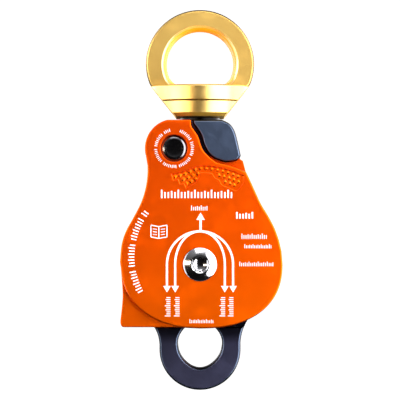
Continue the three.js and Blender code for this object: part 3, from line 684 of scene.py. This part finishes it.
def frame_body():
    body = make("frame_body", [slab(tidy(head_outline()), rounded(-HEAD_DEPTH, HEAD_DEPTH, 0.9, 0.9))])
    bosses, pockets, sweeps = [], [], []
    pocket = [(0, 6.3), (5.4, 6.3), (5.4, 16.4), (BUTTON_HOLE_R, 16.4), (BUTTON_HOLE_R, HEAD_DEPTH - 0.5),
              (BUTTON_HOLE_R + 0.5, HEAD_DEPTH), (BUTTON_HOLE_R + 0.5, HEAD_DEPTH + 1), (0, HEAD_DEPTH + 1)]
    sweep = [(53, HEAD_DEPTH), (53, PLATE_LEDGE + 0.4), (59, PLATE_LEDGE + 0.4), (59, HEAD_DEPTH)]
    for rear in (False, True):
        levels = [(HEAD_DEPTH - 2, 0.0)] + crisp(-PLATE_OUTER, PLATE_OUTER, 0.62, 0.42)[5:]
        bosses.append(slab(boss_outline(), levels, rear=rear))
        pockets.append(turned(pocket, 64, BUTTON, rear=rear))
        sweeps.append(turned(sweep, 200, ring=True, rear=rear))
    combine(body, "UNION", bosses)
    combine(body, "DIFFERENCE", sweeps)
    web = tidy([(-18, 0), (18, 0), (18, 56), (-18, 56)])
    thick = tidy([(x, z) for x, z in becket_outline() if z <= BECKET_NECK_Z])
    combine(body, "UNION", [slab(web, rounded(-WEB_HALF, WEB_HALF, 0.4, 0.4, 2))])
    disc = [(0, -WEB_HALF), (WEB_R - 0.4, -WEB_HALF), (WEB_R, 0.4 - WEB_HALF), (WEB_R, WEB_HALF - 0.4),
            (WEB_R - 0.4, WEB_HALF), (0, WEB_HALF)]
    combine(body, "UNION", [turned(disc, 160)])
    combine(body, "UNION", [slab(becket_outline(), [(-WEB_HALF, 0), (WEB_HALF, 0)])])
    edge = crisp(-BECKET_HALF, BECKET_HALF, 0.62, 0.42)
    combine(body, "UNION", [slab(thick, edge)])
    mouth = [(-BECKET_HALF - 1, 1.9)] + edge + [(BECKET_HALF + 1, 1.9)]
    combine(body, "DIFFERENCE", [slab(becket_hole(), [(d, -i) for d, i in mouth])])
    cavity = turned([(0, 57.4), (9.3, 57.4), (9.3, HEAD_TOP_Z - 0.4), (9.9, HEAD_TOP_Z + 0.1),
                     (9.9, HEAD_TOP_Z + 1), (0, HEAD_TOP_Z + 1)], 96, upright=True)
    axle = turned([(0, -6), (AXLE_R + 0.2, -6), (AXLE_R + 0.2, 6), (0, 6)], 64)
    combine(body, "DIFFERENCE", [cavity, axle] + pockets)
    paint_frame(body.data)
    return finish(body, SLATE, "frame", ["frame"], sharp=36)


def paint_frame(mesh):
    """Slate faces, with painted shade on the side walls, a painted dark outline on the steep chamfers and the
    shelf over the becket, and a painted highlight on the shallow chamfers round the bosses and the becket.
    """
    plain, wall_shade, rim, edge = range(4)
    for material in (SLATE, SLATE_WALL_SHADE, SLATE_RIM_SHADE, SLATE_EDGE_HIGHLIGHT):
        mesh.materials.append(material)
    for face in mesh.polygons:
        lean = abs(face.normal.y)
        depth = abs(face.center.y) / MM
        height = face.center.z / MM - AXLE_Z
        shelf = face.normal.z > 0.25 and -36 < height < -33
        becket = height < -34 and depth > WEB_HALF + 0.05 and not shelf
        chamfered = depth > PLATE_OUTER - 1.6 or becket
        if shelf:
            # Painted shade on the shelf's slopes over the becket.
            face.material_index = rim if lean < 0.96 else plain
        elif lean < 0.6:
            # Painted shade: a dark outline on the steep chamfers, and darker side walls.
            face.material_index = rim if chamfered and lean > 0.1 else wall_shade
        elif lean < 0.96 and chamfered:
            # Painted highlight on the shallow chamfers.
            face.material_index = edge
        else:
            face.material_index = plain


frame_body()


# ---- Side plates ---------------------------------------------------------------------------------

SHOULDER_DROP = 2.3      # how far the grip's rows fall towards the left, in mm
GRIP_ROW = 2.5
GRIP_STEP = 3.25         # degrees from one pyramid to the next
GRIP_R = 49.65
GRIP_DEPTH = 0.7
# Each row's ends, counted in steps from the middle: (first, last) stretches.
GRIP_ROWS = [[(-5, 7)], [(-4, -1), (3, 7)], [(-4, -2), (4, 6)]]


def grip_radius(row, degrees):
    t = min(1.0, max(0.0, (1 - degrees) / 13))
    return GRIP_R - GRIP_ROW * row - SHOULDER_DROP * t * t * (3 - 2 * t)


def from_top(radius, degrees):
    return polar(radius, 90 - degrees)


def grip_outline():
    top = [from_top(grip_radius(0, a) + 1.5, a) for a in range(-17, 26, 2)]
    right = [from_top(51.2, 26.6), from_top(48.2, 28.2), from_top(45.6, 27.9), from_top(43.3, 27.2),
             from_top(42.1, 26)]
    under_right = spline([from_top(42.1, 26), from_top(42.2, 20), from_top(42.3, 16.4), from_top(43.2, 14.2),
                          from_top(44.7, 12.6), from_top(45.2, 9.9), from_top(46.3, 8.6), from_top(47.4, 7.4)], 4)
    middle = [from_top(47.4, a) for a in (6, 4, 2, 0.4)]
    left = [from_top(45.4, -0.4), from_top(44.3, -1.2), from_top(42.4, -2.6), from_top(40.3, -8.6),
            from_top(39.9, -10.4), from_top(42.6, -11.4), from_top(42.6, -14.2), from_top(45.4, -14.6),
            from_top(45.4, -17.9), from_top(49.2, -17.7)]
    return tidy(top + right + under_right + middle + left, 0.2)


def slot_outline(half):
    radius = math.hypot(*BUTTON)
    start = math.degrees(math.atan2(BUTTON[1], BUTTON[0]))
    return tidy(arc(radius - half, 60, start) + arc(half, start - 180, start - 360, *BUTTON, step=6)
                + arc(radius + half, start, 60))


def side_plate():
    """The front plate's body; the rear one is its mirror image."""
    body = make("front_plate_body", [slab(raised_outline(), rounded(PLATE_INNER, PLATE_OUTER, 0.3, 0.9, 5))])
    ledge = slab(inset(ledge_outline(), 0.04), rounded(PLATE_INNER + 0.02, PLATE_LEDGE, 0.3, 0.4, 3))
    combine(body, "UNION", [ledge])
    outside, inside = PLATE_OUTER + 1, PLATE_INNER - 1
    bore = turned([(0, inside), (7.85, inside), (7.85, PLATE_OUTER - 0.3), (8.3, PLATE_OUTER + 0.15),
                   (8.3, outside), (0, outside)], 96)
    mouth = BUTTON_HOLE_R + 0.4
    hole = turned([(0, inside), (BUTTON_HOLE_R, inside), (BUTTON_HOLE_R, PLATE_OUTER - 0.62),
                   (BUTTON_HOLE_R + 0.05, PLATE_OUTER - 0.5), (mouth - 0.1, PLATE_OUTER - 0.08),
                   (mouth + 0.2, PLATE_OUTER + 0.1), (mouth + 0.2, outside), (0, outside)], 96, BUTTON)
    ceiling = PLATE_OUTER - 1.6
    recess = turned([(0, inside), (BUTTON_R + 0.35, inside), (BUTTON_R + 0.35, ceiling), (0, ceiling)], 96, BUTTON)
    slot_wide = slab(slot_outline(BUTTON_R + 0.28), [(23.35, 0), (ceiling - 0.03, 0)])
    slot_narrow = slab(slot_outline(2.95), [(inside, 0), (23.45, 0)])
    grip = slab(grip_outline(), [(PLATE_OUTER - GRIP_DEPTH, 0.35), (PLATE_OUTER - GRIP_DEPTH + 0.15, 0.1),
                                 (PLATE_OUTER - 0.1, 0.0), (PLATE_OUTER + 0.6, -0.6)])
    combine(body, "DIFFERENCE", [bore, hole, recess, slot_wide, slot_narrow, grip])
    mesh = body.data.copy()
    for vertex in mesh.vertices:
        vertex.co.y = -vertex.co.y
    mesh.flip_normals()
    twin = bpy.data.objects.new("rear_plate_body", mesh)
    bpy.context.scene.collection.objects.link(twin)
    finish(body, ORANGE, "front_plate", ["front_side_plate"], sharp=30)
    finish(twin, ORANGE, "rear_plate", ["rear_side_plate"], sharp=30)


def grip_pyramids(side):
    """Diamond pyramids on the floor of the grip's shallow recess."""
    rear = side == "rear"
    verts, faces = [], []
    floor, crown = PLATE_OUTER - GRIP_DEPTH - 0.02, PLATE_OUTER - 0.2
    for row, stretches in enumerate(GRIP_ROWS):
        for first, last in stretches:
            for k in range(first, last + 1):
                angle = 0.3 + GRIP_STEP * (k + row / 2)
                radius = grip_radius(row, angle)
                cx, cz = from_top(radius, angle)
                ax, az = from_top(1.0, angle)
                half_out, half_along, flat = 1.3, 1.36, 0.1
                base = len(verts)
                for scale, depth in ((1.0, floor), (flat, crown)):
                    for along, out in ((1, 0), (0, 1), (-1, 0), (0, -1)):
                        u, v = along * half_along * scale, out * half_out * scale
                        verts.append(world(cx + u * az + v * ax, depth, cz - u * ax + v * az, rear))
                faces.append(tuple(base + i for i in (3, 2, 1, 0)))
                faces.append(tuple(base + i for i in (4, 5, 6, 7)))
                for i in range(4):
                    j = (i + 1) % 4
                    faces.append((base + i, base + j, base + 4 + j, base + 4 + i))
    obj = make(f"{side}_grip", [(verts, faces)])
    return finish(obj, ORANGE_CUT, f"{side}_plate", (), sharp=20, weighted=False)


side_plate()
for side in ("front", "rear"):
    grip_pyramids(side)


# ---- Printed marks: an arrow diagram of the loads, and rows of plain ticks ------------------------

PRINT_LOW, PRINT_HIGH = PLATE_OUTER - 0.06, PLATE_OUTER + 0.03


def mark(outline, lift=0.0):
    return slab(tidy(outline, 0.02), [(PRINT_LOW, 0), (PRINT_HIGH + lift, 0)])


def bar(x0, z0, x1, z1, width, lift=0.0):
    length = math.hypot(x1 - x0, z1 - z0)
    nx, nz = -(z1 - z0) / length * width / 2, (x1 - x0) / length * width / 2
    return mark([(x0 + nx, z0 + nz), (x0 - nx, z0 - nz), (x1 - nx, z1 - nz), (x1 + nx, z1 + nz)], lift)


def arrow_head(x, z, half, height):
    """A triangle with its tip at x, z: up if height is negative."""
    return mark([(x, z), (x - half, z + height), (x + half, z + height)], 0.006)


def hoop(half_x, half_z, width, foot, lift):
    """A stroke that arches over the axle and runs straight down to foot on both sides."""
    outer = squircle(half_x + width / 2, half_z + width / 2, 2.0, 0, 180)
    inner = squircle(half_x - width / 2, half_z - width / 2, 2.0, 180, 0)
    return mark([(half_x + width / 2, foot)] + outer + [(-half_x - width / 2, foot), (-half_x + width / 2, foot)]
                + inner + [(half_x - width / 2, foot)], lift)


def ticks(x, z, degrees, length, height, stroke=0.42, pitch=1.05):
    """A row of plain upright ticks along a direction, of three heights in turn."""
    c, s = math.cos(math.radians(degrees)), math.sin(math.radians(degrees))
    out = []
    for i in range(int(length / pitch)):
        mid = stroke / 2 + i * pitch
        tall = height * (1.0, 0.72, 0.72, 0.86, 0.72)[i % 5]
        out.append(bar(x + c * mid, z + s * mid, x + c * mid - s * tall, z + s * mid + c * tall, stroke))
    return out


def arc_ticks(radius, start, end, count, height, width, centre=(0.0, 0.0)):
    out = []
    for i in range(count):
        angle = start + (end - start) * i / (count - 1)
        if i % 9 == 8:
            continue
        a = polar(radius - height / 2, angle, *centre)
        b = polar(radius + height / 2 * (1.0 if i % 2 else 0.7), angle, *centre)
        out.append(bar(*a, *b, width))
    return out


# Each row of ticks: x, z, direction, length and height, then stroke and pitch where they differ.
TICK_ROWS = [(x, -26.9, 90, 11.2, 2.9) for x in (-15.3, -10.6, 13.0, 17.3)] + [
    (-5.4, -30.4, 0, 13.0, 2.0, 0.36, 0.85), (-4.6, 27.9, 0, 9.8, 2.6, 0.42, 1.0),
    (18.7, 23.7, 0, 11.2, 3.4, 0.8, 1.6), (21.5, 13.2, 0, 14.0, 2.7), (23.0, 8.3, 0, 14.8, 2.1, 0.36, 0.85),
    (20.4, -1.0, 0, 18.2, 2.4, 0.38, 0.95), (-20.2, 34.3, 0, 38.0, 4.3, 0.75, 1.72)]


def print_marks():
    """The load diagram, the rows of ticks and a small open book, all on the front plate."""
    outer_half, inner_half, rise, foot, tip = 17.1, 12.85, 17.1, -11.4, -14.5
    stroke = 1.1
    shells = [hoop(outer_half, rise, stroke, foot, 0.0), hoop(inner_half, rise, stroke, foot, 0.003)]
    for half in (outer_half, inner_half):
        for x in (-half, half):
            shells.append(arrow_head(x, tip, 1.95, 3.3))
    shells.append(bar(0.3, rise, 0.3, 23.4, 1.15, 0.009))
    shells.append(arrow_head(0.3, 26.7, 2.2, -3.7))
    for row in TICK_ROWS:
        shells.extend(ticks(*row))
    shells.extend(arc_ticks(38.6, 208, 143.5, 29, 3.3, 0.62, (3, 4)))
    shells.extend(arc_ticks(9.55, 70, -256, 58, 1.6, 0.34, BUTTON))
    book = [(-25.4, 14.2), (-21.3, 13.4), (-17.1, 14.2)]
    for dz in (0.0, 6.1):
        shells.extend([bar(book[0][0], book[0][1] + dz, book[1][0], book[1][1] + dz, 0.5),
                       bar(book[1][0], book[1][1] + dz, book[2][0], book[2][1] + dz, 0.5)])
    for x, z in book:
        shells.append(bar(x, z, x, z + 6.1, 0.5))
    for row in range(3):
        z = 15.6 + row * 1.4
        shells.extend([bar(-24.4, z, -22.3, z - 0.3, 0.35), bar(-20.3, z - 0.3, -18.1, z, 0.35)])
    obj = make("front_marks", shells)
    return finish(obj, PRINT, "front_plate", weighted=False)


print_marks()


# ---- Latch buttons -------------------------------------------------------------------------------

def latch(side):
    rear = side == "rear"
    top = BUTTON_TOP
    profile = [(0, top - 0.2), (2.0, top - 0.19), (3.6, top - 0.15), (4.4, top - 0.06), (4.75, top),
               (5.0, top - 0.03), (5.3, top - 0.09), (6.0, top - 0.28), (BUTTON_R - 0.03, top - 0.46),
               (BUTTON_R, top - 0.5), (BUTTON_R, top - 1.7), (2.6, top - 1.7),
               (2.6, 16.5), (2.0, 16.5), (2.0, 15.1), (2.6, 15.1), (2.6, 13.2), (0, 13.2)]
    obj = make(f"{side}_latch_button", [turned(profile, 96, BUTTON, rear=rear)])
    finish(obj, NICKEL, f"{side}_latch", [f"{side}_button"])
    turned_piece(f"{side}_keeper_washer", [(2.9, 16.7), (6.6, 16.7), (6.6, 17.9), (2.9, 17.9)], STEEL, "frame",
                 [f"{side}_button_retainer"], "spring_steel", centre=BUTTON, ring=True, rear=rear)


def coil(side, turns=4.5, wire=0.35, radius=4.0, near=6.7, far=14.6, round_steps=10, turn_steps=28):
    """The button's return spring, with its end turns closed up."""
    rear = side == "rear"
    count = int(turns * turn_steps)
    verts, faces = [], []

    def middle(u):
        t = u * turns * 2 * math.pi
        lead = min(1.0, max(0.0, (u * turns - 0.8) / (turns - 1.6)))
        depth = near + wire + 0.12 * u + (far - near - 2 * wire - 0.12) * lead
        return Vector((BUTTON[0] + radius * math.cos(t), depth, BUTTON[1] + radius * math.sin(t)))

    for i in range(count + 1):
        u = i / count
        here = middle(u)
        along = (middle(min(1, u + 0.002)) - middle(max(0, u - 0.002))).normalized()
        outward = Vector((here.x - BUTTON[0], 0, here.z - BUTTON[1])).normalized()
        side_way = along.cross(outward).normalized()
        for k in range(round_steps):
            a = 2 * math.pi * k / round_steps
            p = here + (outward * math.cos(a) + side_way * math.sin(a)) * wire
            verts.append(world(p.x, p.y, p.z, rear))
    for i in range(count):
        for k in range(round_steps):
            m = (k + 1) % round_steps
            a, b = i * round_steps, (i + 1) * round_steps
            faces.append((a + k, a + m, b + m, b + k))
    faces.append(tuple(range(round_steps)))
    faces.append(tuple(count * round_steps + k for k in reversed(range(round_steps))))
    obj = make(f"{side}_return_spring", [(verts, faces)])
    finish(obj, SPRING, "frame", [f"{side}_button_spring"], weighted=False)
    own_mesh(obj)


for side in ("front", "rear"):
    latch(side)
    coil(side)


# ---- Axle ----------------------------------------------------------------------------------------

def domed_head(name, shank, node_name, rear):
    seat = PLATE_OUTER + 0.3
    rim = seat + 0.5
    dome = [(0, AXLE_CROWN), (4.4, AXLE_CROWN), (4.9, AXLE_CROWN - 0.04), (5.4, AXLE_CROWN - 0.14)]
    dome += [(r, AXLE_CROWN - 0.14 - 0.29 * (r - 5.4) - 0.012 * (r - 5.4) ** 2) for r in (6.2, 7.0, 7.8, 8.5)]
    dome += [(8.68, AXLE_CROWN - 1.28), (8.74, rim - 0.0), (AXLE_HEAD_R - 0.01, rim - 0.2),
             (AXLE_HEAD_R, seat + 0.15), (AXLE_HEAD_R - 0.15, seat)]
    obj = make(name, [turned(dome + shank, 128, rear=rear)])
    key_r = 4.05
    corners = tidy([polar(key_r, 60 * k + 30) for k in range(6)])
    socket = slab(corners, [(AXLE_CROWN - 2.6, 0), (AXLE_CROWN + 1, 0)], rear=rear)
    drilled = turned([(0, AXLE_CROWN - 3.9), (3.3, AXLE_CROWN - 2.7), (3.3, AXLE_CROWN - 2), (0, AXLE_CROWN - 2)],
                     64, rear=rear)
    mouth = turned([(0, AXLE_CROWN - 0.75), (key_r - 0.45, AXLE_CROWN - 0.75), (key_r + 0.55, AXLE_CROWN + 0.02),
                    (key_r + 0.75, AXLE_CROWN + 0.5), (0, AXLE_CROWN + 0.5)], 96, rear=rear)
    combine(obj, "DIFFERENCE", [socket, drilled, mouth])
    return finish(obj, CHROME, "frame", [node_name])


domed_head("axle_head_front", [(AXLE_R, PLATE_OUTER + 0.3), (AXLE_R, -13.5), (4, -13.5), (4, -20), (3.2, -20.8),
           (0, -20.8)], "axle_bolt", False)
domed_head("axle_head_rear", [(AXLE_R, PLATE_OUTER + 0.3), (AXLE_R, 13.8), (4.3, 13.8), (4.3, 21.5), (0, 22.5)],
           "axle_nut", True)


# ---- Sheaves and what they run on ----------------------------------------------------------------

SHEAVE_NEAR, SHEAVE_FAR, FLANGE_R, TREAD_R = 4.1, 20.1, 31.5, 25.5


def sheave(side):
    middle = (SHEAVE_NEAR + SHEAVE_FAR) / 2
    groove = []
    for i in range(33):
        t = math.pi * i / 32
        groove.append((FLANGE_R - 0.25 - (FLANGE_R - 0.25 - TREAD_R) * math.sin(t) ** 0.9,
                       middle - 7.3 * math.cos(t)))
    bore = 18.9
    cheek_low = [(bore, SHEAVE_NEAR + 2.2), (bore + 5, SHEAVE_NEAR + 1.8), (FLANGE_R - 4, SHEAVE_NEAR),
                 (FLANGE_R - 0.4, SHEAVE_NEAR), (FLANGE_R, SHEAVE_NEAR + 0.25)]
    cheek_high = [(r, SHEAVE_NEAR + SHEAVE_FAR - t) for r, t in reversed(cheek_low)]
    profile = cheek_low + groove + cheek_high
    obj = make(f"{side}_wheel_body", [turned(profile, 144, ring=True, rear=side == "rear")])
    return finish(obj, SHEAVE_GREY, f"{side}_wheel", [f"{side}_sheave"])


def depth_span(node):
    return sorted(abs(corner[1]) for corner in spans(node))


for side in ("front", "rear"):
    rear = side == "rear"
    sheave(side)
    for where in ("inner", "outer"):
        near, far = depth_span(f"{side}_{where}_shield")
        mid_r = 12.5
        turned_piece(f"{side}_{where}_cover", [(11.45, near), (mid_r, near + 0.12), (13.6, near), (13.6, far),
                     (mid_r, far - 0.12), (11.45, far)], RUBBER_SHIELD, f"{side}_wheel",
                     [f"{side}_{where}_shield"], "shield", radius=0.1, ring=True, rear=rear)
        near, far = depth_span(f"{side}_{where}_spacer")
        turned_piece(f"{side}_{where}_sleeve", [(6.2, near), (9, near), (9, far), (6.2, far)], STEEL,
                     "frame", [f"{side}_{where}_spacer"], "bearing_steel", ring=True, rear=rear)
    for race, body, low_r, high_r in (("inner", "frame", 6.2, 11.0), ("outer", f"{side}_wheel", 13.8, 18.6)):
        turned_piece(f"{side}_{race}_ring", [(low_r, 7.1), (high_r, 7.1), (high_r, 17.1), (low_r, 17.1)], STEEL,
                     body, [f"{side}_bearing_{race}_race"], "bearing_steel", ring=True, radius=0.4, rear=rear)
    bush = [(6.2, PLATE_INNER), (7.6, PLATE_INNER), (7.6, PLATE_OUTER), (6.2, PLATE_OUTER)]
    turned_piece(f"{side}_bronze_bush", bush, BRONZE, f"{side}_plate", [f"{side}_plate_bush"], "bush",
                 ring=True, rear=rear)


# ---- CAD pieces that stay: hidden ones, given their finish ---------------------------------------

KEPT = {
    "swivel_stud": STEEL, "thrust_lower_race": STEEL, "thrust_upper_race": STEEL, "thrust_ball_cage": BRONZE,
    "stud_seal": RUBBER, "front_bearing_ball_cage": STEEL, "rear_bearing_ball_cage": STEEL,
    "front_button_clip": SPRING, "rear_button_clip": SPRING,
}
for kept, material in KEPT.items():
    mesh = frame["nodes"][kept].data
    mesh.materials.clear()
    mesh.materials.append(material)


# ---- Stage, lights and camera --------------------------------------------------------------------

def paper():
    mat = bpy.data.materials.new("paper")
    mat.use_nodes = True
    shader = mat.node_tree.nodes["Principled BSDF"]
    shader.inputs["Base Color"].default_value = (0.5, 0.5, 0.5, 1)
    shader.inputs["Roughness"].default_value = 0.95
    shader.inputs["Specular IOR Level"].default_value = 0.0
    shader.inputs["Emission Color"].default_value = (1, 1, 1, 1)
    shader.inputs["Emission Strength"].default_value = 0.97
    return mat


def backdrop():
    """A pale round floor that curves up into a wall and a ceiling, far out on every side."""
    floor_z, radius, curve = -1.6, 5.0, 1.2
    path = [(0, floor_z)]
    for k in range(0, 13):
        t = math.radians(90 * k / 12)
        path.append((radius - curve + curve * math.sin(t), floor_z + curve * (1 - math.cos(t))))
    path += [(radius, 2.4), (3.0, 3.6), (0, 3.9)]
    obj = make("floor", [turned([(r / MM, z / MM - AXLE_Z) for r, z in path], 48, upright=True)])
    obj.data.shade_smooth()
    obj.data.materials.append(paper())
    obj.visible_glossy = False
    obj.visible_diffuse = False
    obj.visible_shadow = False


def panel(name, azimuth, elevation, distance, width, height, power, colour=(1, 1, 1)):
    """A soft panel that faces the object; azimuth is from the front, positive to the right."""
    data = bpy.data.lights.new(name, "AREA")
    data.shape = "RECTANGLE"
    data.size = width
    data.size_y = height
    data.energy = power
    data.color = colour
    obj = bpy.data.objects.new(name, data)
    bpy.context.scene.collection.objects.link(obj)
    a, e = math.radians(azimuth), math.radians(elevation)
    aim = Vector((0, 0, (AXLE_Z + 30) * MM))
    way = Vector((math.sin(a) * math.cos(e), -math.cos(a) * math.cos(e), math.sin(e)))
    obj.location = aim + way * distance
    obj.rotation_euler = (-way).to_track_quat("-Z", "Y").to_euler()
    return obj


backdrop()
# The front panels leave a dark gap round the camera, so that flat faces keep their own colour.
PANEL_DISTANCE = 1.1
panel("right_front", 46, 4, PANEL_DISTANCE, 1.08, 1.7, 34)
panel("right_side", 104, 4, PANEL_DISTANCE, 1.1, 1.7, 21)
panel("left_front", -47, 1, PANEL_DISTANCE, 1.06, 0.14, 4.6, (1, 0.82, 0.6))
panel("left_fill", -66, 2, PANEL_DISTANCE, 0.9, 1.5, 7)
panel("left_side", -104, 16, PANEL_DISTANCE, 1.1, 0.5, 7)
panel("top", 14, 54, PANEL_DISTANCE, 1.0, 0.95, 8)
panel("right_back", 140, 8, PANEL_DISTANCE, 0.62, 1.6, 13)
panel("left_back", -140, 8, PANEL_DISTANCE, 0.62, 1.6, 13)

sky = bpy.data.worlds.new("studio")
sky.use_nodes = True
tree = sky.node_tree
direction = node(tree, "ShaderNodeSeparateXYZ")
tree.links.new(node(tree, "ShaderNodeTexCoord").outputs["Generated"], direction.inputs[0])
above = ramp(tree, direction.outputs["Z"], 0.1, 0.9, 0.004, 0.6)
below = ramp(tree, direction.outputs["Z"], -1.0, -0.7, 0.06, 0.0)
glow = node(tree, "ShaderNodeMath", operation="ADD")
tree.links.new(above, glow.inputs[0])
tree.links.new(below, glow.inputs[1])
tree.links.new(glow.outputs[0], tree.nodes["Background"].inputs["Strength"])
tree.nodes["Background"].inputs["Color"].default_value = (1, 1, 1, 1)
bpy.context.scene.world = sky

camera_data = bpy.data.cameras.new("camera")
camera_data.sensor_width = 36
camera_data.lens = 173.9
camera_data.clip_end = 20
camera = bpy.data.objects.new("camera", camera_data)
bpy.context.scene.collection.objects.link(camera)
camera.location = (0, -(PLATE_OUTER + 1000) * MM, (AXLE_Z + 33.3) * MM)
camera.rotation_euler = (math.radians(90), 0, 0)
bpy.context.scene.camera = camera
bpy.context.scene.view_settings.view_transform = "Standard"

bpy.context.view_layer.update()
